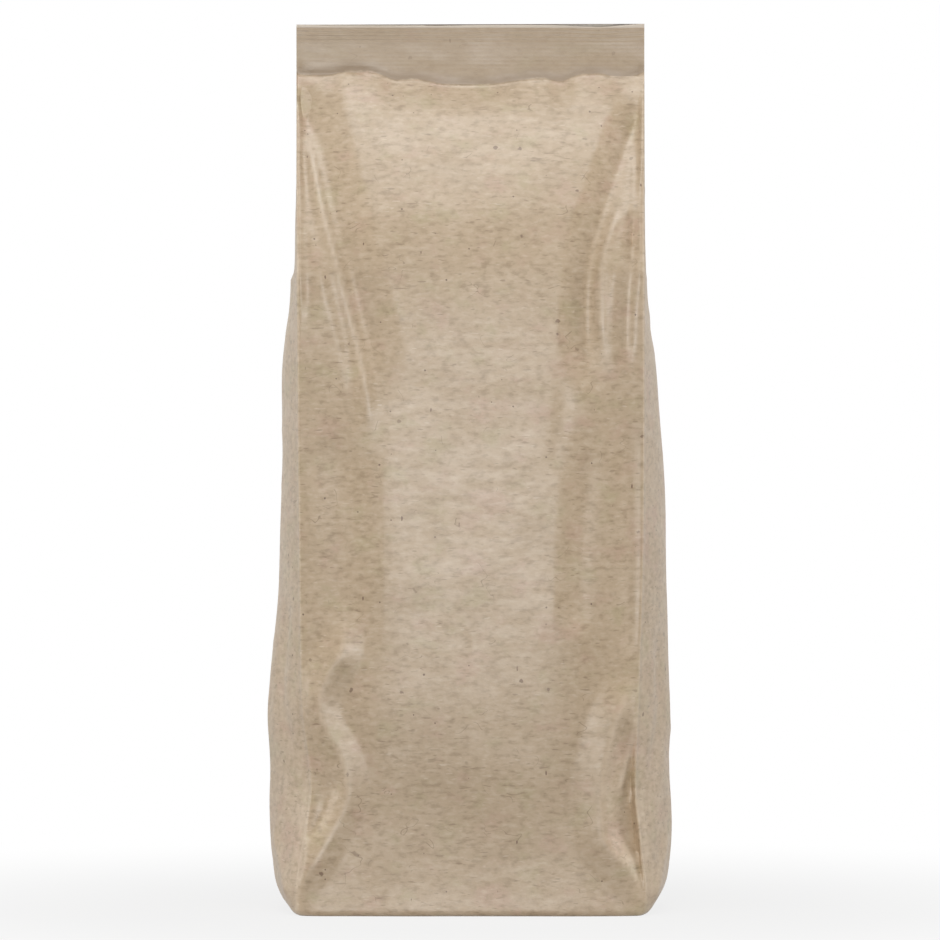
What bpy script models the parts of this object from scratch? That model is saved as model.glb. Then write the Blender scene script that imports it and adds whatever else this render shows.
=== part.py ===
"""Coffee bag: a filled kraft paper bag with side gussets, a flat base and a heat-sealed top.

The bag is one closed body, lofted from the flat base to the seal.  Its front faces -Y, its
width runs along X, and the origin is on the base, below the middle of the bag's outer size.
Lengths are in metres.
"""

import math

import bmesh
import bpy
import numpy as np

MM = 0.001

# The bag as cut and folded
HEIGHT = 203.0 * MM
GUSSET_WIDTH = 50.0 * MM
SEAL_HEIGHT = 11.0 * MM
SEAL_THICKNESS = 0.7 * MM

# The bag as filled
TUCK_START = 145.0 * MM       # height where the gussets start to fold inwards
TUCK_POWER = 1.2              # how suddenly the corner folds turn in towards the seal
RECESS_TOP_GAP = 1.5 * MM     # the gusset's fold stops this far under the seal
BASE_EDGE_RADIUS = 1.4 * MM
BASE_CORNER_RADIUS = 3.0 * MM
FULL_SHAPE = 2.7              # power of a panel's curve across the filling, higher is flatter
SHOULDER_SHAPE = 3.6          # the same on the shoulder

# Heights (mm) and half width between the corner folds (mm), left and right; the last ones are
# half of the front panel's flat width
LEFT_FOLD = ((0, 40.2), (12, 39.4), (30, 36.4), (49, 38.3), (90, 38.9), (150, 39.4), (192, 40.0))
RIGHT_FOLD = ((0, 40.2), (11, 40.1), (31, 37.6), (52, 38.3), (90, 39.3), (150, 39.5), (192, 40.0))

# Heights (mm) and how far the gusset's middle stands outside the corner folds (mm)
LEFT_GUSSET = (
    (0, 0), (3, 3.0), (10, 5.6), (29, 9.9), (52, 7.9), (75, 5.5), (100, 4.5), (122, 4.2), (138, 2.4),
    (158, 1.8), (182, 0),
)
RIGHT_GUSSET = (
    (0, 0), (3, 2.8), (10, 5.5), (29, 8.5), (52, 7.6), (75, 6.2), (100, 5.3), (127, 3.1), (138, 1.5),
    (158, 1.1), (182, 0),
)

# Heights (mm) and how far a panel's middle stands from the bag's middle plane (mm)
FRONT_MIDDLE = (
    (0, 26.2), (11, 26.3), (35, 29.4), (50, 30.8), (75, 31.3), (105, 30.3), (135, 27.8), (152, 24.6),
    (165, 19.0), (180, 9.7), (188, 3.8), (192, 0.35),
)
BACK_MIDDLE = (
    (0, 26.4), (11, 26.3), (35, 29.1), (52, 30.6), (80, 31.0), (108, 29.9), (136, 27.4), (153, 24.1),
    (166, 18.3), (181, 9.0), (188, 3.7), (192, 0.35),
)

# Folds of a panel: route through (x, height) in mm, height of the ridge (negative for a
# valley), and how far its slope reaches to the left and to the right of the route as it runs
FRONT_FOLDS = (
    (((-41, 195), (-35, 171), (-30, 151), (-24, 128), (-22, 114)), -1.8, 9.0, 5.0),
    (((41, 191), (36, 177), (32, 164), (28, 152), (26, 134)), -2.0, 5.5, 5.6),
    (((-41, 3), (-31, 20), (-28, 30), (-33, 45), (-29, 60)), 1.8, 5.8, 4.6),
    (((40, 4), (30, 17), (29.6, 30), (35, 50)), 1.9, 6.5, 5.0),
    (((-28.5, 56), (-28, 84), (-29.5, 112)), -0.9, 7.0, 8.0),
    (((24, 62), (24.6, 84), (26.6, 108)), -0.9, 4.5, 4.5),
)
BACK_FOLDS = (
    (((41, 194), (36, 180), (32, 168), (26, 142)), -1.8, 5.0, 8.0),
    (((-41, 191), (-37, 180), (-31, 160), (-27, 130)), -1.8, 5.2, 4.8),
    (((41, 3), (28, 23), (29, 33), (34, 45), (31, 58)), 1.6, 4.8, 5.4),
    (((-40, 4), (-30, 21), (-30, 32), (-34, 46)), 1.6, 5.0, 6.2),
    (((28, 62), (28, 96), (29, 112)), -0.9, 9.0, 8.0),
    (((-27, 60), (-27.5, 92), (-29, 114)), -0.9, 7.0, 7.0),
)

# Resolution of the loft
PANEL_COLUMNS = 22
GUSSET_COLUMNS = 14
BODY_ROWS = 32

COLOUR = (0.52, 0.41, 0.30, 1.0)
ROUGHNESS = 0.55
SHARP_ANGLE = math.radians(38)

SEAL_BOTTOM = HEIGHT - SEAL_HEIGHT
RECESS_TOP = SEAL_BOTTOM - RECESS_TOP_GAP
HALF_GUSSET = GUSSET_WIDTH / 2
HALF_SEAL = SEAL_THICKNESS / 2


def clear_scene():
    for scene_object in list(bpy.data.objects):
        bpy.data.objects.remove(scene_object, do_unlink=True)


def ease(low, high, value):
    """Smooth step from 0 at low to 1 at high."""
    part = np.clip((value - low) / (high - low), 0.0, 1.0)
    return part * part * (3 - 2 * part)


def station_slopes(places, values):
    """Slopes of a curve through the stations that never overshoots them."""
    steps = np.diff(values) / np.diff(places)
    slopes = np.zeros(len(values))
    for index in range(1, len(values) - 1):
        before, after = steps[index - 1], steps[index]
        if before * after > 0:
            slopes[index] = 2 * before * after / (before + after)
    slopes[0], slopes[-1] = steps[0], steps[-1]
    return slopes


def along(stations, height):
    """Value at a height of a smooth curve through (height, value) stations in mm."""
    places, values = np.array(stations, dtype=float).T * MM
    slopes = station_slopes(places, values)
    height = np.clip(height, places[0], places[-1])
    index = np.clip(np.searchsorted(places, height) - 1, 0, len(places) - 2)
    width = places[index + 1] - places[index]
    part = (height - places[index]) / width
    rest = 1 - part
    return (
        (1 + 2 * part) * rest**2 * values[index]
        + part * rest**2 * width * slopes[index]
        + part**2 * (3 - 2 * part) * values[index + 1]
        - part**2 * rest * width * slopes[index + 1]
    )


def gusset_tuck(height):
    """How far the gusset's middle fold is drawn in above the start of the tuck."""
    rise = np.clip((height - TUCK_START) / (SEAL_BOTTOM - TUCK_START), 0.0, 1.0)
    depth = HALF_GUSSET * (1 - rise**TUCK_POWER)
    return np.sqrt(HALF_GUSSET**2 - depth**2)


def corner_depth(height, gusset):
    """Half the distance between the front and back corner folds: the gusset keeps its width."""
    drawn = np.minimum(np.hypot(gusset_tuck(height), along(gusset, height)), HALF_GUSSET)
    return np.maximum(np.sqrt(HALF_GUSSET**2 - drawn**2), HALF_SEAL)


def smooth_route(points, count=24):
    """Points along a Catmull-Rom curve through a fold's route."""
    knots = np.array(points, dtype=float) * MM
    knots = np.vstack((2 * knots[0] - knots[1], knots, 2 * knots[-1] - knots[-2]))
    route = []
    for index in range(1, len(knots) - 2):
        before, start, end, after = knots[index - 1:index + 3]
        for part in np.linspace(0, 1, count // (len(knots) - 3), endpoint=False):
            route.append(0.5 * (2 * start + (end - before) * part
                                + (2 * before - 5 * start + 4 * end - after) * part**2
                                + (3 * start - before - 3 * end + after) * part**3))
    route.append(knots[-2])
    return np.array(route)


def fold_relief(across, height, fold):
    """Height of one fold over a panel, fading out at both ends of its route."""
    points, ridge, left, right = fold
    route = smooth_route(points)
    nearest = np.full(across.shape, 1.0)
    share = np.zeros(across.shape)
    for index in range(len(route) - 1):
        start, run = route[index], route[index + 1] - route[index]
        part = ((across - start[0]) * run[0] + (height - start[1]) * run[1]) / (run @ run)
        part = np.clip(part, 0, 1)
        off_x, off_height = across - start[0] - part * run[0], height - start[1] - part * run[1]
        distance = np.hypot(off_x, off_height)
        side = np.where(run[0] * off_height - run[1] * off_x < 0, -1, 1)
        closer = distance < np.abs(nearest)
        nearest = np.where(closer, distance * side, nearest)
        share = np.where(closer, (index + part) / (len(route) - 1), share)
    reach = np.where(nearest > 0, left, right) * MM
    slope = np.clip(1 - np.abs(nearest) / reach, 0, 1)
    return ridge * MM * slope**1.2 * ease(0, 0.16, share) * ease(0, 0.22, 1 - share)


def cross_shape(across, height):
    """How full a panel is across its width: rounded over the filling, boxy on the shoulder."""
    full = 1 - np.abs(across) ** FULL_SHAPE
    boxy = 1 - np.abs(across) ** SHOULDER_SHAPE
    return full + (boxy - full) * ease(135 * MM, 160 * MM, height)


def panel(height, middle_depth, folds, facing):
    """One panel's row of points, from the left corner fold to the right one."""
    across = np.linspace(-1, 1, PANEL_COLUMNS + 1)
    fold = np.where(across < 0, along(LEFT_FOLD, height), along(RIGHT_FOLD, height))
    left, right = corner_depth(height, LEFT_GUSSET), corner_depth(height, RIGHT_GUSSET)
    x = fold * across
    corner = left + (right - left) * (across + 1) / 2
    depth = corner + (along(middle_depth, height) - corner) * cross_shape(across, height)
    relief = sum(fold_relief(x, np.full(x.shape, height), fold) for fold in folds)
    depth += relief * ease(0.0, 0.12, 1 - np.abs(across)) * ease(0, 9 * MM, SEAL_BOTTOM - height)
    return np.column_stack((x, facing * np.maximum(depth, HALF_SEAL)))


def gusset(height, fold, stations, side):
    """One gusset's row of points, from the front corner fold to the back one."""
    across = np.linspace(-1, 1, GUSSET_COLUMNS + 1)
    depth = corner_depth(height, stations)
    outward = along(stations, height) * (1 - across**2)
    narrow = 1 + 2.2 * (1 - ease(TUCK_START, SEAL_BOTTOM - 15 * MM, height))
    inward = gusset_tuck(height) * (1 - np.abs(across)) ** narrow if height <= RECESS_TOP else 0
    x = along(fold, height) + outward - inward
    return np.column_stack((side * x, depth * across))


def round_corner(points, corner, height):
    """Draw the points near one corner of the outline in towards a round corner."""
    radius = BASE_CORNER_RADIUS * (1 - ease(0, 40 * MM, height))
    if radius < 0.05 * MM:
        return points
    away = np.hypot(*(points - corner).T)
    near = np.clip(1 - away / (2.2 * radius), 0, 1) ** 2
    towards = -corner / np.hypot(*corner)
    return points + towards * (0.414 * radius * near)[:, None]


def outline(height):
    """Closed row of points around the bag at one height, anticlockwise from above."""
    front = panel(height, FRONT_MIDDLE, FRONT_FOLDS, -1)
    right = gusset(height, RIGHT_FOLD, RIGHT_GUSSET, 1)
    back = panel(height, BACK_MIDDLE, BACK_FOLDS, 1)[::-1]
    left = gusset(height, LEFT_FOLD, LEFT_GUSSET, -1)[::-1]
    points = np.vstack((front[:-1], right[:-1], back[:-1], left[:-1]))
    for corner in (front[0], front[-1], back[0], back[-1]):
        points = round_corner(points, corner, height)
    drop = max(0.0, 1 - height / BASE_EDGE_RADIUS)
    inset = BASE_EDGE_RADIUS * (1 - math.sqrt(1 - drop * drop))
    return points * (1 - inset / np.hypot(*points.T))[:, None]


def row_heights():
    """Heights of the loft's rows, closer together at the base edge and at the seal."""
    edge = [BASE_EDGE_RADIUS * (1 - math.cos(math.radians(angle))) for angle in (0, 30, 60, 90)]
    body = np.linspace(4.5 * MM, SEAL_BOTTOM - 5 * MM, BODY_ROWS)
    shoulder = [SEAL_BOTTOM - 3 * MM, RECESS_TOP, SEAL_BOTTOM]
    seal = [SEAL_BOTTOM + SEAL_HEIGHT / 2, HEIGHT]
    return [*edge, *body, *shoulder, *seal]


def loft_bag():
    """The bag's skin, one ring of faces between each two rows, with a flat cap at each end."""
    heights = row_heights()
    rows = [outline(height) for height in heights]
    points = np.vstack(rows)
    middle = (points.min(axis=0) + points.max(axis=0)) / 2
    mesh = bmesh.new()
    rings = []
    for height, row in zip(heights, rows):
        rings.append([mesh.verts.new((x, y, height)) for x, y in row - middle])
    for lower, upper in zip(rings, rings[1:]):
        for index in range(len(lower)):
            after = (index + 1) % len(lower)
            mesh.faces.new((lower[index], lower[after], upper[after], upper[index]))
    mesh.faces.new(rings[0][::-1])
    mesh.faces.new(rings[-1])
    return mesh


def kraft_paper():
    material = bpy.data.materials.new("kraft_paper")
    material.use_nodes = True
    shader = material.node_tree.nodes["Principled BSDF"]
    shader.inputs["Base Color"].default_value = COLOUR
    shader.inputs["Roughness"].default_value = ROUGHNESS
    shader.inputs["Metallic"].default_value = 0.0
    material.diffuse_color = COLOUR
    return material


def build():
    clear_scene()
    collection = bpy.data.collections.new("coffee_bag")
    bpy.context.scene.collection.children.link(collection)
    mesh = bpy.data.meshes.new("bag")
    skin = loft_bag()
    skin.to_mesh(mesh)
    skin.free()
    mesh.materials.append(kraft_paper())
    mesh.shade_smooth()
    mesh.set_sharp_from_angle(angle=SHARP_ANGLE)
    collection.objects.link(bpy.data.objects.new("bag", mesh))


build()
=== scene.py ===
"""A filled kraft paper coffee bag: the fine skin, its paper and a plain studio.

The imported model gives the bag's box.  Sizes below are in millimetres on the bag's own scale,
with x to the right, height up from the base and the front facing -Y.
"""

import math

import bpy
import numpy as np
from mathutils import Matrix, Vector


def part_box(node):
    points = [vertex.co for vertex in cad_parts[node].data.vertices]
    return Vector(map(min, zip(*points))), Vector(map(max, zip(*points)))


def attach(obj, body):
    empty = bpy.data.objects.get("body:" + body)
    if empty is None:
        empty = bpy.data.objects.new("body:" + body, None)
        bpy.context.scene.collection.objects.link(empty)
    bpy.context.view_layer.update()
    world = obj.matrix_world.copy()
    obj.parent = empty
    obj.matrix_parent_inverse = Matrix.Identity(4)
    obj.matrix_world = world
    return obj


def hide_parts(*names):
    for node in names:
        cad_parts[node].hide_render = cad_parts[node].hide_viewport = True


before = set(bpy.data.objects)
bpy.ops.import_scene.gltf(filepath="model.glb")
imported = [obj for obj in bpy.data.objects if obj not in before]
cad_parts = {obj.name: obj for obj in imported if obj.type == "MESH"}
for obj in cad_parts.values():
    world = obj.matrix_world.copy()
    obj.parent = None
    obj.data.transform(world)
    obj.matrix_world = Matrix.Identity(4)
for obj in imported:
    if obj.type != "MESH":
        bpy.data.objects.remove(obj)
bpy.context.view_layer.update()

# ---------------------------------------------------------------- the bag as cut, folded and filled
HEIGHT = 203.0
HALF_GUSSET = 25.0
SEAL_HEIGHT = 11.0
HALF_SEAL = 0.35
SEAL_BOTTOM = HEIGHT - SEAL_HEIGHT
TUCK_START = 145.0
TUCK_POWER = 1.2
RECESS_TOP = SEAL_BOTTOM - 0.5
BASE_EDGE_RADIUS = 1.4
BASE_CORNER_RADIUS = 3.0
CRIMP_SPACING = 0.92
SEAL_LIP = 0.2
SWELL_SIZE = 0.1
CHANCE_FOLDS = 26             # small creases on each face

# Height, and half width between the corner folds
LEFT_FOLD = (
    (0, 40.2), (5, 40.4), (12, 39.4), (20, 37.8), (30, 36.4), (49, 38.3), (90, 38.9), (150, 39.4),
    (192, 40.0),
)
RIGHT_FOLD = (
    (0, 40.2), (5, 40.8), (11, 40.1), (19, 39.0), (31, 37.6), (52, 38.3), (90, 39.3), (150, 39.5),
    (192, 40.0),
)

# Height, and how far the gusset's middle stands outside the corner folds
LEFT_GUSSET = (
    (0, 0), (3, 3.0), (10, 5.6), (20, 8.5), (29, 9.9), (41, 9.3), (52, 7.9), (75, 5.5), (100, 4.5),
    (122, 4.2), (132, 3.3), (138, 2.4), (144, 2.0), (158, 1.8), (170, 1.0), (182, 0),
)
RIGHT_GUSSET = (
    (0, 0), (3, 2.8), (10, 5.5), (20, 7.6), (29, 8.5), (41, 8.3), (52, 7.6), (75, 6.2), (100, 5.3),
    (115, 4.1), (127, 3.1), (132, 2.1), (138, 1.5), (144, 1.1), (158, 1.1), (170, 0.7), (182, 0),
)

# Height, and the depth of a panel's middle in front of the bag's middle plane
FRONT_MIDDLE = (
    (0, 26.2), (5, 26.1), (11, 26.3), (20, 27.1), (35, 29.4), (50, 30.8), (75, 31.3), (105, 30.3),
    (122, 29.1), (135, 27.8), (145, 26.3), (152, 24.6), (158, 22.5), (165, 19.0), (172, 14.9),
    (180, 9.7), (188, 3.8), (192, 0.35),
)
BACK_MIDDLE = (
    (0, 26.4), (5, 26.2), (11, 26.3), (20, 27.0), (35, 29.1), (52, 30.6), (80, 31.0), (108, 29.9),
    (124, 28.8), (136, 27.4), (146, 25.9), (153, 24.1), (159, 21.9), (166, 18.3), (173, 14.2),
    (181, 9.0), (188, 3.7), (192, 0.35),
)

# Share across a full panel, and how much of the middle's depth it has there
PANEL_CROSS = (
    (-1, 0), (-0.8, 0.42), (-0.66, 0.69), (-0.55, 0.86), (-0.42, 0.955), (-0.27, 0.99), (0, 1),
    (0.3, 0.99), (0.47, 0.955), (0.6, 0.86), (0.7, 0.69), (0.82, 0.42), (1, 0),
)

# Across the panel, and how far the pressed band of the seal reaches below its mean edge
FRONT_SEAL_EDGE = (
    (-40, 0.6), (-33, 0.6), (-27, -0.4), (-22, 0.2), (-17, 1.8), (-12, 1.7), (-6, 2.9), (3, 3.0),
    (12, 1.8), (17, 1.5), (20.5, 2.2), (25, 0.7), (29, 0.4), (35, 1.5), (40, 0.0),
)
BACK_SEAL_EDGE = (
    (-40, -0.4), (-30, 0.8), (-19, 0.2), (-8, 2.2), (6, 2.7), (15, 0.8), (26, 1.8), (34, -0.3),
    (40, -0.2),
)

# Across the seal, and how far its top edge rises or dips
TOP_EDGE = (
    (-40, 0.1), (-33, -0.25), (-22, -0.35), (-10, 0.0), (20, 0.1), (30, -0.35), (36, 0.1), (40, 0.35),
)

# Folds: route through (x, height), ridge (negative for a valley), reach to the left and to the
# right of the route as it runs, how rounded the ridge is, and how hollow its slopes are (1 is flat)
FRONT_FOLDS = (
    # left shoulder: the pinched crease, the long slope from the full middle, the narrow outer slope
    (((-38.9, 183), (-36.2, 172), (-34.4, 164), (-32.2, 155), (-29.6, 145.5), (-27.4, 137),
      (-25.0, 127), (-23.4, 117), (-22.6, 106)), 1.5, 2.6, 2.6, 0.3, 1.4),
    (((-41.5, 195), (-38.0, 183), (-35.0, 171), (-32.6, 161), (-30.0, 151), (-27.0, 140),
      (-24.2, 128), (-22.0, 114)), -2.6, 9.0, 5.0, 0.5, 1.1),
    (((-38.8, 178), (-37.9, 167), (-37.5, 156), (-37.0, 146), (-36.2, 132)),
     -0.8, 3.0, 1.4, 0.2, 1.0),
    # right shoulder: the steep slope beside the full middle, and the narrow one near the corner fold
    (((41.0, 191), (38.6, 182), (36.4, 177.4), (34.1, 170.5), (31.9, 164.5), (29.7, 158),
      (27.9, 152), (26.7, 144), (26.2, 133), (27.0, 116)), -2.8, 5.5, 5.6, 0.3, 1.0),
    (((38.7, 176), (38.0, 171), (37.3, 163), (36.8, 155), (36.3, 147)), -0.7, 1.2, 1.5, 0.2, 1.0),
    (((37.2, 160), (36.6, 149), (35.5, 137), (35.2, 122)), -1.1, 1.5, 4.2, 0.3, 1.0),
    (((34.0, 161), (31.0, 152.5), (29.6, 146), (29.2, 138), (30.0, 126)), 0.8, 1.5, 1.5, 0.3, 1.3),
    # lower left: the broad zigzag from the base corner, with slopes on both sides
    (((-41.0, 3.0), (-34.6, 13), (-30.8, 19.7), (-28.2, 25), (-27.6, 30), (-29.0, 36), (-31.6, 40.5),
      (-33.6, 45), (-33.9, 49.5), (-31.6, 55.4), (-29.2, 59.2), (-28.3, 64), (-28.6, 74)),
     1.9, 5.8, 4.6, 0.3, 1.05),
    (((-31.0, 32), (-32.6, 25), (-36.6, 17)), -0.9, 2.0, 1.8, 0.3, 1.2),
    # lower right: the belly's edge, the slope down to the corner fold and the crease across it
    (((40.4, 3.6), (36.0, 10.6), (32.3, 14.4), (29.9, 17.4), (29.5, 22), (29.6, 30.5), (30.9, 37.5),
      (33.0, 44.4), (35.0, 49.6), (36.6, 56)), 2.4, 6.5, 4.0, 0.2, 1.0),
    (((40.4, 4), (38.4, 12), (37.0, 19), (36.4, 27), (36.6, 36), (37.4, 46)),
     -2.2, 5.5, 1.5, 0.2, 1.0),
    (((38.0, 46), (36.2, 38.5), (34.3, 32), (32.8, 25)), 1.2, 1.8, 1.8, 0.35, 1.2),
    # the soft hollows between the middle of the panel and its corner folds
    (((-28.5, 56), (-28.0, 84), (-29.5, 112)), -0.9, 7.0, 8.0, 3.0, 1.7),
    (((24.0, 62), (24.6, 84), (26.6, 108)), -0.9, 4.5, 4.5, 1.5, 1.7),
    (((36.0, 56), (36.4, 84), (35.6, 116)), -0.7, 2.6, 4.0, 0.6, 1.7),
)
BACK_FOLDS = (
    (((38.4, 182), (35.0, 170), (31.4, 157), (27.4, 140), (24.6, 124)), 1.1, 2.6, 2.2, 0.2, 1.3),
    (((41.0, 194), (36.4, 180), (32.4, 168), (29.4, 156), (26.4, 142)), -2.3, 1.8, 8.0, 0.4, 1.05),
    (((-41.0, 191), (-37.6, 180), (-34.0, 170), (-31.0, 160), (-28.4, 146), (-27.4, 128)),
     -2.2, 5.2, 4.8, 0.3, 1.0),
    (((-38.0, 172), (-37.2, 158), (-36.0, 140)), -0.9, 3.4, 1.4, 0.2, 1.0),
    (((41.0, 3.0), (33.4, 13), (28.4, 23), (29.4, 33), (33.6, 45), (31.0, 58)),
     1.7, 4.8, 5.4, 0.25, 1.0),
    (((-40.4, 4.0), (-34.4, 12), (-30.0, 21), (-30.4, 32), (-34.0, 46)),
     1.7, 2.6, 6.2, 0.2, 1.0),
    (((-38.4, 8), (-33.4, 22), (-34.6, 40)), -1.5, 4.2, 2.6, 0.3, 1.0),
    (((28.0, 62), (28.0, 96), (29.0, 112)), -0.9, 9.0, 8.0, 3.0, 1.7),
    (((-27.0, 60), (-27.5, 92), (-29.0, 114)), -0.9, 7.0, 7.0, 2.5, 1.7),
)

# On a gusset the first number is the distance from its middle towards the back
RIGHT_SIDE_FOLDS = (
    (((0, 6), (0.4, 60), (-0.3, 110), (0, 141)), -0.45, 2.2, 2.2, 0.3, 1.7),
    (((-3.0, 145), (-8.5, 156), (-15.5, 170)), 0.5, 3.4, 3.0, 0.3, 1.3),
    (((3.0, 146), (8.4, 158), (14.0, 171)), 0.5, 3.0, 3.4, 0.3, 1.3),
    (((-21.5, 3), (-14, 11), (-7, 19)), 0.7, 3.0, 4.5, 0.3, 1.3),
    (((21.0, 3), (13.5, 12), (7, 20)), 0.7, 4.5, 3.0, 0.3, 1.3),
    (((-17, 30), (-12, 46), (-14, 66)), -0.8, 4.0, 5.0, 1.2, 1.7),
    (((16, 38), (13, 58), (17, 78)), -0.8, 5.0, 4.0, 1.2, 1.7),
)
LEFT_SIDE_FOLDS = (
    (((0, 6), (-0.4, 56), (0.3, 104), (0, 141)), -0.45, 2.2, 2.2, 0.3, 1.7),
    (((-3.0, 146), (-8.8, 158), (-15.0, 172)), 0.5, 3.4, 3.0, 0.3, 1.3),
    (((3.0, 145), (8.4, 155), (15.2, 169)), 0.5, 3.0, 3.4, 0.3, 1.3),
    (((-21.0, 3), (-13.5, 12), (-7, 20)), 0.7, 3.0, 4.5, 0.3, 1.3),
    (((21.5, 3), (14, 11), (7, 19)), 0.7, 4.5, 3.0, 0.3, 1.3),
    (((-16, 36), (-13, 54), (-16, 74)), -0.8, 4.0, 5.0, 1.2, 1.7),
    (((17, 30), (12.5, 50), (15, 70)), -0.8, 5.0, 4.0, 1.2, 1.7),
)


def ease(low, high, value):
    """Smooth step from 0 at low to 1 at high."""
    part = np.clip((value - low) / (high - low), 0.0, 1.0)
    return part * part * (3 - 2 * part)


def station_slopes(places, values):
    """Slopes of a curve through the stations that never overshoots them."""
    steps = np.diff(values) / np.diff(places)
    slopes = np.zeros(len(values))
    for index in range(1, len(values) - 1):
        before, after = steps[index - 1], steps[index]
        if before * after > 0:
            slopes[index] = 2 * before * after / (before + after)
    slopes[0], slopes[-1] = steps[0], steps[-1]
    return slopes


def along(stations, place):
    """Value at a place of a smooth curve through (place, value) stations."""
    places, values = np.array(stations, dtype=float).T
    slopes = station_slopes(places, values)
    place = np.clip(place, places[0], places[-1])
    index = np.clip(np.searchsorted(places, place) - 1, 0, len(places) - 2)
    width = places[index + 1] - places[index]
    part = (place - places[index]) / width
    rest = 1 - part
    return (
        (1 + 2 * part) * rest**2 * values[index]
        + part * rest**2 * width * slopes[index]
        + part**2 * (3 - 2 * part) * values[index + 1]
        - part**2 * rest * width * slopes[index + 1]
    )


# ---------------------------------------------------------------- folds and crumples
def smooth_route(points, step=1.2):
    """Points along a Catmull-Rom curve through a fold's route."""
    knots = np.array(points, dtype=float)
    knots = np.vstack((2 * knots[0] - knots[1], knots, 2 * knots[-1] - knots[-2]))
    route = []
    for index in range(1, len(knots) - 2):
        before, start, end, after = knots[index - 1:index + 3]
        count = max(2, int(np.hypot(*(end - start)) / step))
        for part in np.linspace(0, 1, count, endpoint=False):
            route.append(0.5 * (2 * start + (end - before) * part
                                + (2 * before - 5 * start + 4 * end - after) * part**2
                                + (3 * start - before - 3 * end + after) * part**3))
    route.append(knots[-2])
    return np.array(route)


def fold_relief(across, height, fold):
    """Relief of one fold over a face, and how much lighter the paper is drawn along its ridge: rubbed
    paper and a painted highlight.
    """
    points, ridge, left, right, crest, hollow = fold
    route = smooth_route(points)
    reach = max(left, right)
    relief = np.zeros(across.shape)
    wear_and_highlight = np.zeros(across.shape)
    near = ((across > route[:, 0].min() - reach) & (across < route[:, 0].max() + reach)
            & (height > route[:, 1].min() - reach) & (height < route[:, 1].max() + reach))
    a, h = across[near], height[near]
    nearest = np.full(a.shape, 1e3)
    share = np.zeros(a.shape)
    for index in range(len(route) - 1):
        start, run = route[index], route[index + 1] - route[index]
        part = np.clip(((a - start[0]) * run[0] + (h - start[1]) * run[1]) / (run @ run), 0, 1)
        off_x, off_h = a - start[0] - part * run[0], h - start[1] - part * run[1]
        distance = np.hypot(off_x, off_h)
        turn = np.sign(run[0] * off_h - run[1] * off_x)
        closer = distance < np.abs(nearest)
        nearest = np.where(closer, distance * np.where(turn == 0, 1, turn), nearest)
        share = np.where(closer, (index + part) / (len(route) - 1), share)
    width = np.where(nearest > 0, left, right)
    away = np.sqrt(nearest**2 + crest**2) - crest
    slope = np.clip(1 - away / width, 0, 1)
    fade = ease(0, 0.16, share) * ease(0, 0.22, 1 - share)
    relief[near] = ridge * slope**hollow * fade
    # lighter along a raised crest: rubbed paper and a painted highlight where the crest catches the
    # light
    wear_and_highlight[near] = np.exp(-(nearest / 0.55) ** 2) * fade * min(abs(ridge), 1.0) * (ridge > 0)
    return relief, wear_and_highlight


def chance_folds(seed, count, half_width):
    """Small soft creases that handling leaves, mostly upright or slanting."""
    rng = np.random.default_rng(seed)
    folds = []
    for _ in range(count):
        x, height = rng.uniform(-half_width, half_width), rng.uniform(10, 165)
        length, slant = rng.uniform(6, 20), rng.normal(0, 0.7)
        run = np.array((math.sin(slant), math.cos(slant))) * length
        bend = np.array((run[1], -run[0])) * rng.uniform(-0.15, 0.15)
        middle = np.array((x, height))
        ridge = rng.uniform(0.05, 0.2) * rng.choice((-1, 1))
        reach = rng.uniform(1.8, 5.0)
        route = (middle - run / 2, middle + bend, middle + run / 2)
        folds.append((route, ridge, reach, reach, 0.4, 1.7))
    return folds


def swells(across, height, seed, size):
    """Slow unevenness of the filling under the paper."""
    rng = np.random.default_rng(seed)
    total = np.zeros(across.shape)
    for _ in range(9):
        angle, wave = rng.uniform(0, math.pi), rng.uniform(16, 44)
        phase = (across * math.cos(angle) + height * math.sin(angle)) * 2 * math.pi / wave
        total += np.sin(phase + rng.uniform(0, 6.28))
    return total * size / 3


def face_relief(across, height, folds, seed, half_width):
    """Relief of a whole face, and its rubbed paper and painted highlight: swells, its own folds and
    the chance ones.
    """
    relief = swells(across, height, seed, SWELL_SIZE)
    wear_and_highlight = np.zeros(across.shape)
    for fold in [*folds, *chance_folds(seed, CHANCE_FOLDS, half_width)]:
        fold_part, wear_and_highlight_part = fold_relief(across, height, fold)
        relief += fold_part
        wear_and_highlight = np.maximum(wear_and_highlight, wear_and_highlight_part)
    return relief, wear_and_highlight


# ---------------------------------------------------------------- the form of the bag
def opening(height):
    """Half the distance between the panels at the corner folds, where the gusset is drawn in."""
    rise = np.clip((height - TUCK_START) / (SEAL_BOTTOM - TUCK_START), 0.0, 1.0)
    return HALF_SEAL + (HALF_GUSSET - HALF_SEAL) * (1 - rise**TUCK_POWER)


def gusset_tuck(height):
    """How far the gusset's middle fold is drawn in above the start of the tuck."""
    return np.sqrt(np.maximum(HALF_GUSSET**2 - opening(height) ** 2, 0))


def corner_depth(height, gusset):
    """Half the distance between the front and back corner folds: the gusset keeps its width."""
    drawn = np.minimum(np.hypot(gusset_tuck(height), along(gusset, height)), HALF_GUSSET)
    return np.maximum(np.sqrt(HALF_GUSSET**2 - drawn**2), np.minimum(opening(height), HALF_SEAL))


def fold_radius(height):
    """Radius of the paper over the corner folds."""
    return np.interp(height, (0, 20, 120, 150, 180, SEAL_BOTTOM - 2), (0.9, 0.7, 0.7, 1.4, 1.1, 0.05))


def crimp(height):
    """Horizontal ribs that the sealing jaws leave, clearest near the top edge."""
    ribs = np.sin((HEIGHT - height) / CRIMP_SPACING * 2 * math.pi)
    clear = 0.2 + 0.8 * ease(HEIGHT - 5.0, HEIGHT - 3.2, height)
    return 0.06 * ribs * clear * ease(SEAL_BOTTOM + 0.3, SEAL_BOTTOM + 1.6, height)


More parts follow.
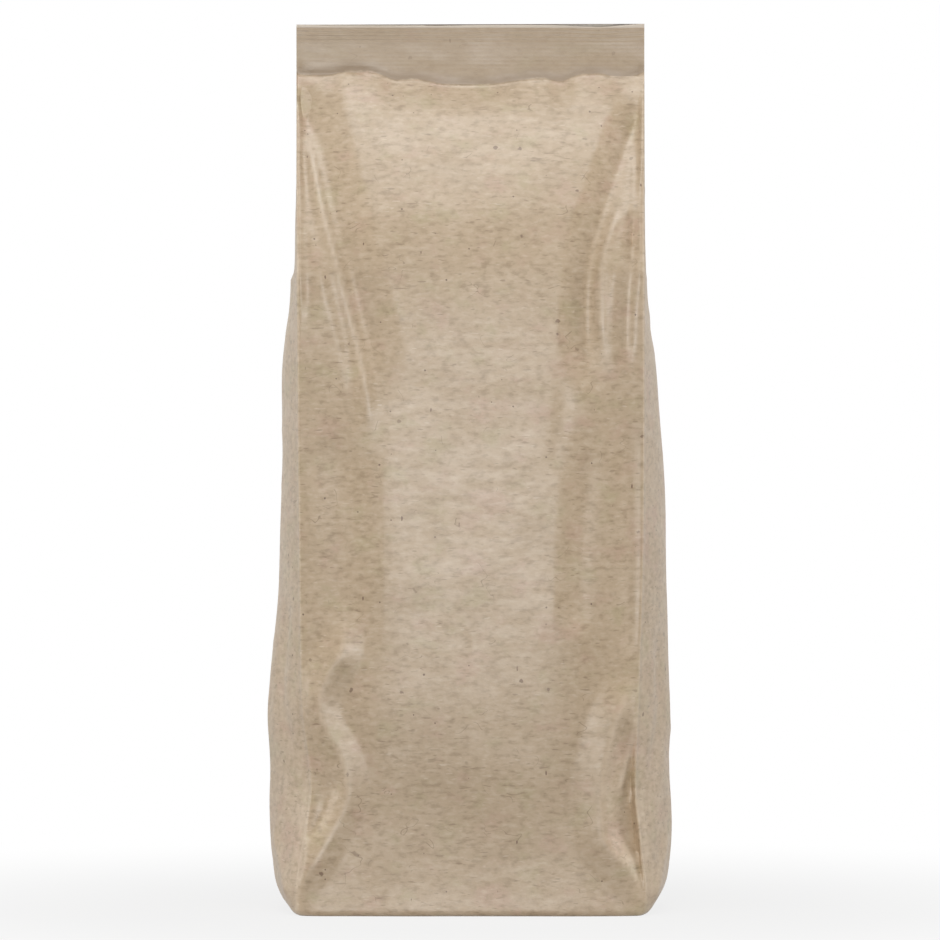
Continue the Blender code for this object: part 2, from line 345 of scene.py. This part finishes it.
def seal_lip(height, seal_edge, x):
    """The pressed band stands a little proud just above the line where the panel leaves it."""
    above = height - SEAL_BOTTOM + along(seal_edge, x)
    return SEAL_LIP * ease(-0.4, 1.8, above) * ease(6.0, 1.8, above)


def seal_warp(across, height):
    """The thin seal isn't quite flat."""
    lift = ease(SEAL_BOTTOM - 8, HEIGHT, height)
    return lift * (0.5 * np.sin(across / 40 * 2.4 + 0.4) - 0.25 * np.sin(across / 40 * 6.1))


def cross_shape(share, height):
    """How full a panel is across its width: rounded over the filling, boxy on the shoulder."""
    full = along(PANEL_CROSS, share)
    power = np.interp(height, (150, 165, 176, 186), (2.6, 3.2, 4.5, 8))
    boxy = 1 - np.abs(share) ** power
    return full + (boxy - full) * ease(135, 160, height)


def panel(share, height, middle_depth, seal_edge, folds, facing, seed):
    """A front or back panel: x, y, rubbed paper with painted highlight, and height above the seal's
    lower edge.
    """
    fold = np.where(share < 0, along(LEFT_FOLD, height), along(RIGHT_FOLD, height))
    x = fold * share
    dip = along(seal_edge, x) * ease(SEAL_BOTTOM - 12, SEAL_BOTTOM - 2, height)
    lifted = np.where(height < SEAL_BOTTOM, np.minimum(height + dip, SEAL_BOTTOM), height)
    lifted = np.where(np.abs(share) > 0.995, height, lifted)
    left, right = corner_depth(lifted, LEFT_GUSSET), corner_depth(lifted, RIGHT_GUSSET)
    corner = left + (right - left) * (share + 1) / 2
    depth = corner + (along(middle_depth, lifted) - corner) * cross_shape(share, lifted)
    relief, wear_and_highlight = face_relief(x, height, folds, seed, 36)
    inside = ease(0.0, 0.05, 1 - np.abs(share)) * ease(0, 7, SEAL_BOTTOM - height)
    depth += relief * inside
    radius = fold_radius(height)
    turn = np.clip(1 - (fold - np.abs(x)) / radius, 0, 1)
    depth -= radius * (1 - np.sqrt(1 - turn**2))
    depth = np.maximum(depth, HALF_SEAL) + crimp(height)
    depth += seal_lip(height, seal_edge, x) * ease(0.0, 0.05, 1 - np.abs(share))
    y = facing * depth + seal_warp(x, height)
    # the paper turning over the corner folds gets some painted highlight, with rubbed paper
    return x, y, np.maximum(wear_and_highlight * inside, 0.3 * turn), height - SEAL_BOTTOM + along(seal_edge, x)


def gusset(share, height, fold, stations, folds, side, seed):
    """A side gusset, like a panel, with share running from the front fold to the back one."""
    edge = np.abs(share) > 0.999
    layers = 0.15 + 0.2 * ease(TUCK_START, TUCK_START + 15, height)
    outer = np.maximum(corner_depth(height, stations) - fold_radius(height), HALF_SEAL)
    inner = np.maximum(outer - layers, 0)
    y = np.where(edge, outer * share, inner * share)
    bulge = along(stations, height)
    arc = 0.72 * (1 - share**2) + 0.28 * (1 - np.abs(share))
    tuck = np.where(height <= RECESS_TOP, gusset_tuck(height), 0)
    narrow = 1 + 2.2 * (1 - ease(TUCK_START, SEAL_BOTTOM - 15, height))
    x = along(fold, height) + bulge * arc - tuck * np.where(edge, 0, (1 - np.abs(share)) ** narrow)
    relief, wear_and_highlight = face_relief(y, height, folds, seed, 18)
    inside = ease(0.0, 0.16, 1 - np.abs(share)) * ease(0, 20, SEAL_BOTTOM - height)
    x += relief * inside
    warp = seal_warp(side * along(fold, height), height)
    return side * x, y + warp, wear_and_highlight * inside, height - SEAL_BOTTOM


# ---------------------------------------------------------------- the loft
PANEL_COLUMNS = 112
FOLD_COLUMNS = 7
GUSSET_COLUMNS = 40


def panel_shares():
    """Places across a panel, closer together where the paper turns over the corner folds."""
    near = 1 - 0.035 * np.linspace(0, 1, FOLD_COLUMNS, endpoint=False) ** 1.4
    middle = np.linspace(-0.965, 0.965, PANEL_COLUMNS - 2 * FOLD_COLUMNS + 1)
    return np.concatenate((-near, middle, near[::-1]))


def gusset_shares():
    """Places across a gusset, with a thin strip beside each corner fold."""
    inner = np.linspace(-0.998, 0.998, GUSSET_COLUMNS - 1)
    return np.concatenate(([-1.0], inner, [1.0]))


def row_heights():
    """Heights of the rows: fine at the base edge, the shoulder and the crimped seal."""
    edge = BASE_EDGE_RADIUS * (1 - np.cos(np.radians(np.linspace(0, 90, 8))))
    body = np.arange(BASE_EDGE_RADIUS + 0.5, SEAL_BOTTOM - 9, 0.8)
    shoulder = np.linspace(SEAL_BOTTOM - 8.6, RECESS_TOP, 20)
    seal = np.linspace(SEAL_BOTTOM, HEIGHT, 44)
    return np.concatenate((edge, body, shoulder, seal))


def round_corners(x, y, height):
    """Draw the base's four corners in towards a round outline."""
    for side, stations, folds in ((-1, LEFT_GUSSET, LEFT_FOLD), (1, RIGHT_GUSSET, RIGHT_FOLD)):
        for facing in (-1, 1):
            corner_x = side * along(folds, height)
            corner_y = facing * corner_depth(height, stations)
            radius = BASE_CORNER_RADIUS * (1 - ease(0, 40, height))
            away = np.hypot(x - corner_x, y - corner_y)
            near = np.clip(1 - away / (2.2 * radius + 1e-6), 0, 1) ** 2
            length = np.hypot(corner_x, corner_y)
            x = x - corner_x / length * 0.414 * radius * near
            y = y - corner_y / length * 0.414 * radius * near
    return x, y


def bag_grid():
    """The whole skin, one row per height, anticlockwise from the left front fold: its points,
    rubbed paper with painted highlight, and height above the seal's lower edge."""
    heights = row_heights()
    share, height = np.meshgrid(panel_shares(), heights)
    front = panel(share, height, FRONT_MIDDLE, FRONT_SEAL_EDGE, FRONT_FOLDS, -1, 11)
    back = panel(share, height, BACK_MIDDLE, BACK_SEAL_EDGE, BACK_FOLDS, 1, 23)
    share, height = np.meshgrid(gusset_shares(), heights)
    right = gusset(share, height, RIGHT_FOLD, RIGHT_GUSSET, RIGHT_SIDE_FOLDS, 1, 37)
    left = gusset(share, height, LEFT_FOLD, LEFT_GUSSET, LEFT_SIDE_FOLDS, -1, 41)
    faces = (front, right, [part[:, ::-1] for part in back], [part[:, ::-1] for part in left])
    x, y, wear_and_highlight, above = (np.hstack([face[part][:, :-1] for face in faces]) for part in range(4))
    height = np.repeat(heights[:, None], x.shape[1], axis=1)
    x, y = round_corners(x, y, height)
    drop = np.clip(1 - height / BASE_EDGE_RADIUS, 0, 1)
    inset = BASE_EDGE_RADIUS * (1 - np.sqrt(1 - drop**2))
    shrink = 1 - inset / np.hypot(x, y)
    x, y = x * shrink, y * shrink
    z = height + along(TOP_EDGE, x) * ease(HEIGHT - 5, HEIGHT, height)
    return np.stack((x, y, z), axis=-1), wear_and_highlight, above


def to_frame(points):
    """From the bag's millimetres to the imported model's place and size."""
    low, high = (np.array(corner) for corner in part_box("bag"))
    scale = (high[2] - low[2]) / HEIGHT
    flat = points.reshape(-1, 3)
    middle = (flat.min(axis=0) + flat.max(axis=0)) / 2
    place = (low + high) / 2
    return np.column_stack((
        (flat[:, 0] - middle[0]) * scale + place[0],
        (flat[:, 1] - middle[1]) * scale + place[1],
        flat[:, 2] * scale + low[2],
    ))


def make_bag():
    """The whole bag as one closed mesh, with the two values its paper reads."""
    points, wear_and_highlight, above = bag_grid()
    rows, columns = points.shape[:2]
    index = np.arange(rows * columns).reshape(rows, columns)
    after = np.roll(index, -1, axis=1)
    quads = np.stack((index[:-1], after[:-1], after[1:], index[1:]), axis=-1).reshape(-1, 4)
    faces = [*quads.tolist(), index[0, ::-1].tolist(), index[-1].tolist()]
    mesh = bpy.data.meshes.new("coffee_bag")
    mesh.from_pydata(to_frame(points).tolist(), [], faces)
    mesh.update()
    # the lighter crests and corner folds are rubbed paper and a painted highlight
    for name, values in (("wear_and_highlight", wear_and_highlight), ("above_seal_edge", above)):
        attribute = mesh.attributes.new(name, "FLOAT", "POINT")
        attribute.data.foreach_set("value", values.reshape(-1).astype(np.float32))
    mesh.shade_smooth()
    mesh.set_sharp_from_angle(angle=math.radians(50))
    bag = bpy.data.objects.new("coffee_bag", mesh)
    bpy.context.scene.collection.objects.link(bag)
    return bag


# ---------------------------------------------------------------- kraft paper
def node(tree, kind, **settings):
    """A new node; settings are its properties, or its inputs by name with _ for a space."""
    made = tree.nodes.new(kind)
    for name, value in settings.items():
        if hasattr(made, name):
            setattr(made, name, value)
        else:
            made.inputs[name.replace("_", " ")].default_value = value
    return made


class Paper:
    """Builds the paper's node tree; every method returns an output socket."""

    def __init__(self, name):
        self.material = bpy.data.materials.new(name)
        self.material.use_nodes = True
        self.tree = self.material.node_tree
        self.shader = self.tree.nodes["Principled BSDF"]
        self.place = node(self.tree, "ShaderNodeTexCoord").outputs["Object"]

    def link(self, source, target):
        self.tree.links.new(source, target)

    def scaled(self, scale):
        mapping = node(self.tree, "ShaderNodeMapping", Scale=scale)
        self.link(self.place, mapping.inputs["Vector"])
        return mapping.outputs["Vector"]

    def noise(self, scale, detail=3.0, rough=0.55, warp=0.0):
        made = node(self.tree, "ShaderNodeTexNoise",
                    Scale=1.0, Detail=detail, Roughness=rough, Distortion=warp)
        self.link(self.scaled(scale), made.inputs["Vector"])
        return made.outputs["Fac"]

    def steps(self, value, low, high, out_low=0.0, out_high=1.0):
        made = node(self.tree, "ShaderNodeMapRange", interpolation_type="SMOOTHSTEP",
                    From_Min=low, From_Max=high, To_Min=out_low, To_Max=out_high)
        self.link(value, made.inputs["Value"])
        return made.outputs["Result"]

    def math(self, operation, first, second):
        made = node(self.tree, "ShaderNodeMath", operation=operation)
        for socket, value in zip(made.inputs, (first, second)):
            if isinstance(value, (int, float)):
                socket.default_value = value
            else:
                self.link(value, socket)
        return made.outputs["Value"]

    def blend(self, amount, strength, base, colour):
        """Base colour with another colour laid over it by amount times strength."""
        made = node(self.tree, "ShaderNodeMix", data_type="RGBA")
        self.link(self.math("MULTIPLY", amount, strength), made.inputs[0])
        if isinstance(base, tuple):
            made.inputs[6].default_value = base
        else:
            self.link(base, made.inputs[6])
        made.inputs[7].default_value = colour
        return made.outputs[2]

    def dots(self, cells, size, keep, squeeze=(1, 1, 1)):
        """Ragged specks: cells per metre, size as a share of a cell, keep as a share of cells."""
        made = node(self.tree, "ShaderNodeTexVoronoi", Scale=1.0, Randomness=1.0)
        self.link(self.scaled([cells * part for part in squeeze]), made.inputs["Vector"])
        ragged = self.math("MULTIPLY", self.noise((1100, 1100, 1100), detail=1.0), size * 1.6)
        edge = self.math("ADD", made.outputs["Distance"], ragged)
        near = self.steps(edge, size * 1.8, size * 1.4)
        parts = node(self.tree, "ShaderNodeSeparateColor")
        self.link(made.outputs["Color"], parts.inputs["Color"])
        kept = self.steps(parts.outputs["Red"], 1 - keep, 1 - keep * 0.8)
        return self.math("MULTIPLY", near, kept)

    def hairs(self, scale, thin, patch_scale, keep):
        """Thin curved lines, broken into short lengths."""
        field = self.noise(scale, detail=1.0, warp=0.6)
        line = self.math("ABSOLUTE", self.math("SUBTRACT", field, 0.5), 0)
        here = self.steps(line, thin, thin * 0.3)
        patches = self.noise(patch_scale, detail=0.0)
        return self.math("MULTIPLY", here, self.steps(patches, keep, keep + 0.03))


def srgb(red, green, blue):
    """A display colour out of 255 as the linear colour that a shader takes."""
    parts = [part / 255 for part in (red, green, blue)]
    linear = [part / 12.92 if part <= 0.04045 else ((part + 0.055) / 1.055) ** 2.4 for part in parts]
    return (*linear, 1.0)


def kraft_paper():
    """Unbleached paper over foil: clouds, short streaks along the fibres, specks and stray hairs."""
    paper = Paper("kraft_paper")
    colour = srgb(190, 168, 140)
    clouds = paper.noise((90, 90, 130), detail=3.0, rough=0.5)
    colour = paper.blend(paper.steps(clouds, 0.48, 0.7), 0.32, colour, srgb(172, 150, 121))
    colour = paper.blend(paper.steps(clouds, 0.5, 0.3), 0.3, colour, srgb(202, 182, 158))
    tints = paper.noise((110, 110, 150), detail=3.0)
    colour = paper.blend(paper.steps(tints, 0.54, 0.7), 0.5, colour, srgb(190, 159, 138))
    colour = paper.blend(paper.steps(tints, 0.46, 0.3), 0.5, colour, srgb(180, 166, 130))
    mottle = paper.noise((480, 480, 700), detail=2.0, rough=0.5)
    colour = paper.blend(paper.steps(mottle, 0.5, 0.74), 0.46, colour, srgb(156, 134, 106))
    colour = paper.blend(paper.steps(mottle, 0.5, 0.28), 0.3, colour, srgb(212, 194, 170))
    streaks = paper.noise((400, 400, 1050), detail=3.0, rough=0.5)
    colour = paper.blend(paper.steps(streaks, 0.52, 0.74), 0.48, colour, srgb(146, 124, 96))
    colour = paper.blend(paper.steps(streaks, 0.48, 0.26), 0.3, colour, srgb(216, 199, 176))
    dashes = paper.noise((360, 360, 1700), detail=1.0)
    colour = paper.blend(paper.steps(dashes, 0.66, 0.78), 0.5, colour, srgb(130, 107, 82))
    colour = paper.blend(paper.steps(dashes, 0.3, 0.2), 0.4, colour, srgb(222, 207, 186))
    colour = paper.blend(paper.dots(150, 0.085, 0.42), 0.75, colour, srgb(112, 86, 64))
    colour = paper.blend(paper.dots(400, 0.1, 0.14), 0.8, colour, srgb(92, 68, 50))
    colour = paper.blend(paper.dots(210, 0.1, 0.1, (2.2, 2.2, 0.7)), 0.8, colour, srgb(100, 70, 50))
    hairs = paper.hairs((150, 150, 210), 0.007, (170, 170, 200), 0.66)
    colour = paper.blend(hairs, 0.5, colour, srgb(122, 98, 74))

    # lighter on raised crests and corner folds: rubbed paper and a painted highlight
    wear_and_highlight = node(paper.tree, "ShaderNodeAttribute", attribute_name="wear_and_highlight").outputs["Fac"]
    patchy = paper.steps(paper.noise((300, 300, 300)), 0.3, 0.6, 0.5, 1.0)
    rubbed_and_highlight = paper.math("MULTIPLY", wear_and_highlight, patchy)
    colour = paper.blend(rubbed_and_highlight, 0.5, colour, srgb(222, 203, 180))

    above = node(paper.tree, "ShaderNodeAttribute", attribute_name="above_seal_edge").outputs["Fac"]
    uneven = paper.math("SUBTRACT", paper.noise((160, 160, 300), detail=4.0, rough=0.7), 0.5)
    above = paper.math("ADD", above, paper.math("MULTIPLY", uneven, 2.2))
    # the seal band is drawn darker than the panel
    seal_band = paper.steps(above, -0.1, 0.5)
    colour = paper.blend(seal_band, 0.7, colour, srgb(158, 137, 110))
    # painted shade: a darker line along the lower edge of the seal band, where the panel turns out
    # from it
    crease_shade = paper.math("MULTIPLY", seal_band, paper.steps(above, 3.4, 0.9))
    colour = paper.blend(crease_shade, 0.5, colour, srgb(138, 116, 90))
    # a thin lighter rim along the top edge
    top_rim = paper.steps(height_up_the_bag(paper), HEIGHT - 0.75, HEIGHT - 0.35)
    colour = paper.blend(top_rim, 0.75, colour, srgb(222, 210, 194))
    paper.link(colour, paper.shader.inputs["Base Color"])

    gloss = paper.noise((120, 120, 400), detail=3.0)
    paper.link(paper.steps(gloss, 0.3, 0.7, 0.40, 0.48), paper.shader.inputs["Roughness"])
    paper.shader.inputs["Specular IOR Level"].default_value = 0.7
    paper.shader.inputs["Sheen Weight"].default_value = 0.03

    grain = paper.noise((800, 800, 1100), detail=3.0)
    fine = paper.math("ADD", paper.math("MULTIPLY", streaks, 0.5), grain)
    bump = node(paper.tree, "ShaderNodeBump", Strength=0.2, Distance=0.00015)
    paper.link(fine, bump.inputs["Height"])
    paper.link(bump.outputs["Normal"], paper.shader.inputs["Normal"])
    return paper.material


def height_up_the_bag(paper):
    """A point's height in the bag's own millimetres."""
    low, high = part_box("bag")
    parts = node(paper.tree, "ShaderNodeSeparateXYZ")
    paper.link(paper.place, parts.inputs["Vector"])
    scale = (high[2] - low[2]) / HEIGHT
    return paper.math("DIVIDE", paper.math("SUBTRACT", parts.outputs["Z"], low[2]), scale)


# ---------------------------------------------------------------- studio
WORLD_LIGHT = 0.165
FRAME_TO_HEIGHT = 1.065       # the picture's height over the bag's height
CAMERA_DISTANCE = 1.3
SENSOR = 36.0
CAMERA_SHIFT = (0.0001, -0.0008)    # to the right of the bag's middle, and above it
SIDE_COLOUR = (1.0, 0.96, 0.9)


def seen_or_mirrored(tree):
    """1 where the camera, a reflection or a clear material looks, 0 where light is gathered."""
    path = node(tree, "ShaderNodeLightPath")
    total = path.outputs["Is Camera Ray"]
    for ray in ("Is Glossy Ray", "Is Transmission Ray"):
        either = node(tree, "ShaderNodeMath", operation="MAXIMUM")
        tree.links.new(total, either.inputs[0])
        tree.links.new(path.outputs[ray], either.inputs[1])
        total = either.outputs[0]
    return total


def mixed(tree, amount, first, second):
    """The first shader turning into the second as amount goes from 0 to 1."""
    mix = node(tree, "ShaderNodeMixShader")
    tree.links.new(amount, mix.inputs[0])
    tree.links.new(first, mix.inputs[1])
    tree.links.new(second, mix.inputs[2])
    return mix.outputs[0]


def make_world():
    """White to look at, and a dim even light on the bag."""
    world = bpy.data.worlds.new("studio")
    world.use_nodes = True
    tree = world.node_tree
    light = tree.nodes["Background"]
    light.inputs["Color"].default_value = (1.0, 0.99, 0.97, 1.0)
    light.inputs["Strength"].default_value = WORLD_LIGHT
    white = node(tree, "ShaderNodeBackground", Color=(1, 1, 1, 1), Strength=1.0)
    shown = mixed(tree, seen_or_mirrored(tree), light.outputs[0], white.outputs[0])
    tree.links.new(shown, tree.nodes["World Output"].inputs["Surface"])
    bpy.context.scene.world = world


def make_floor(low):
    """A pale floor that keeps the bag's shadow near it and fades into the white of the world."""
    bpy.ops.mesh.primitive_plane_add(size=6.0, location=(0, 0, low[2]))
    floor = bpy.context.object
    floor.name = "floor"
    material = bpy.data.materials.new("floor")
    material.use_nodes = True
    tree = material.node_tree
    shader = tree.nodes["Principled BSDF"]
    shader.inputs["Base Color"].default_value = (0.45, 0.45, 0.45, 1)
    shader.inputs["Roughness"].default_value = 0.9
    shader.inputs["Specular IOR Level"].default_value = 0.1
    white = node(tree, "ShaderNodeEmission", Color=(1, 1, 1, 1), Strength=1.0)
    place = node(tree, "ShaderNodeTexCoord").outputs["Object"]
    away = node(tree, "ShaderNodeVectorMath", operation="LENGTH")
    tree.links.new(place, away.inputs[0])
    fade = node(tree, "ShaderNodeMapRange", interpolation_type="SMOOTHSTEP",
                From_Min=0.05, From_Max=0.25, To_Min=0.82, To_Max=1.0)
    tree.links.new(away.outputs["Value"], fade.inputs["Value"])
    amount = node(tree, "ShaderNodeMath", operation="MULTIPLY")
    tree.links.new(fade.outputs["Result"], amount.inputs[0])
    tree.links.new(seen_or_mirrored(tree), amount.inputs[1])
    shown = mixed(tree, amount.outputs[0], shader.outputs[0], white.outputs[0])
    tree.links.new(shown, tree.nodes["Material Output"].inputs["Surface"])
    floor.data.materials.append(material)


def softbox(name, place, aim, size, power, colour=(1, 1, 1)):
    """A rectangular area light, its size in metres and its power in watts."""
    data = bpy.data.lights.new(name, "AREA")
    data.shape = "RECTANGLE"
    data.size, data.size_y = size
    data.energy = power
    data.color = colour
    lamp = bpy.data.objects.new(name, data)
    lamp.location = place
    to_aim = Vector(aim) - Vector(place)
    lamp.rotation_euler = to_aim.to_track_quat("-Z", "Y").to_euler()
    bpy.context.scene.collection.objects.link(lamp)


def make_camera(middle, height):
    """Level with the bag's middle, far enough back for a flat product view."""
    data = bpy.data.cameras.new("camera")
    data.sensor_width = SENSOR
    data.lens = SENSOR * CAMERA_DISTANCE / (height * FRAME_TO_HEIGHT)
    camera = bpy.data.objects.new("camera", data)
    camera.location = (middle[0] + CAMERA_SHIFT[0], -CAMERA_DISTANCE, middle[2] + CAMERA_SHIFT[1])
    camera.rotation_euler = (math.radians(90), 0, 0)
    bpy.context.scene.collection.objects.link(camera)
    bpy.context.scene.camera = camera


bag = make_bag()
bag.data.materials.append(kraft_paper())
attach(bag, "root")
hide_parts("bag")

low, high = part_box("bag")
middle = [(a + b) / 2 for a, b in zip(low, high)]
make_world()
make_floor(low)
softbox("front_box", (-0.08, -1.49, 0.20), middle, (0.45, 0.35), 8.3)
softbox("top_box", (-0.04, -0.36, 1.20), middle, (0.70, 0.50), 6.2)
softbox("left_box", (-0.98, 0.10, 0.27), middle, (0.4, 0.8), 3.9, SIDE_COLOUR)
softbox("right_box", (0.98, 0.10, 0.27), middle, (0.4, 0.8), 3.9, SIDE_COLOUR)
make_camera(middle, high[2] - low[2])
bpy.context.scene.view_settings.view_transform = "Standard"
